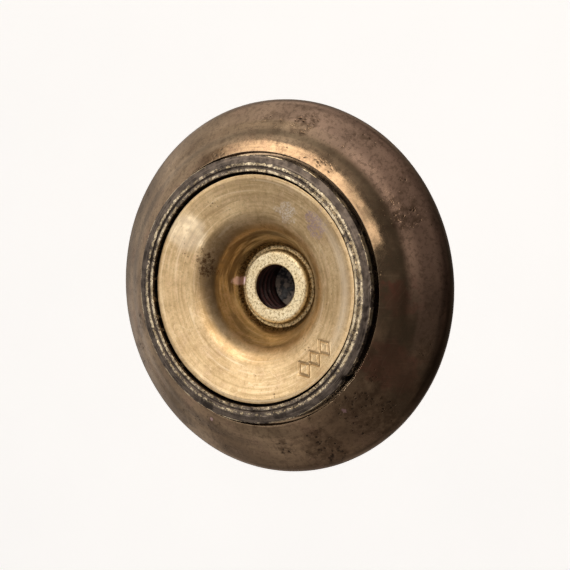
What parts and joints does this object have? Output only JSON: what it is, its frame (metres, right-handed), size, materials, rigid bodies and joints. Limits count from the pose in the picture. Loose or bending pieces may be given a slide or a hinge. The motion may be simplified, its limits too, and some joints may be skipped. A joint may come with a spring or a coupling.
{
  "type": "plumb bob",
  "caption": "Squat turnip plumb bob: bronze shell with a raised collar, a dished brass top with a threaded hole for the cord cap, lead ballast and a screw-in steel point.",
  "frame": {"origin": "the mouth of the threaded hole for the cord cap, on the bob's axis and level with the boss's face", "axes": "+Z along the bob's axis, up towards the cord as the bob hangs, out of the threaded hole; the steel point looks down -Z; +X and +Y are free, because the bob is round"},
  "size_m": [0.07, 0.07, 0.0614],
  "materials": {
    "aged_bronze": "worn polish with brown tarnish and fine casting pits",
    "dark_collar": "blackened, worn through to brass on its ridges",
    "turned_brass": "matte, with fine concentric turning marks",
    "lead": "dull as cast",
    "point_steel": "turned and ground"
  },
  "bodies": {
    "bob": {"body_shell": "aged_bronze", "mouth_collar": "dark_collar", "dished_plug": "turned_brass", "lead_ballast": "lead"},
    "point": {"steel_point": "point_steel"}
  },
  "joints": [
    {"name": "point_unscrew", "type": "slide", "parent": "bob", "child": "point", "axis": [0, 0, -1], "range_m": [0, 0.011]}
  ]
}
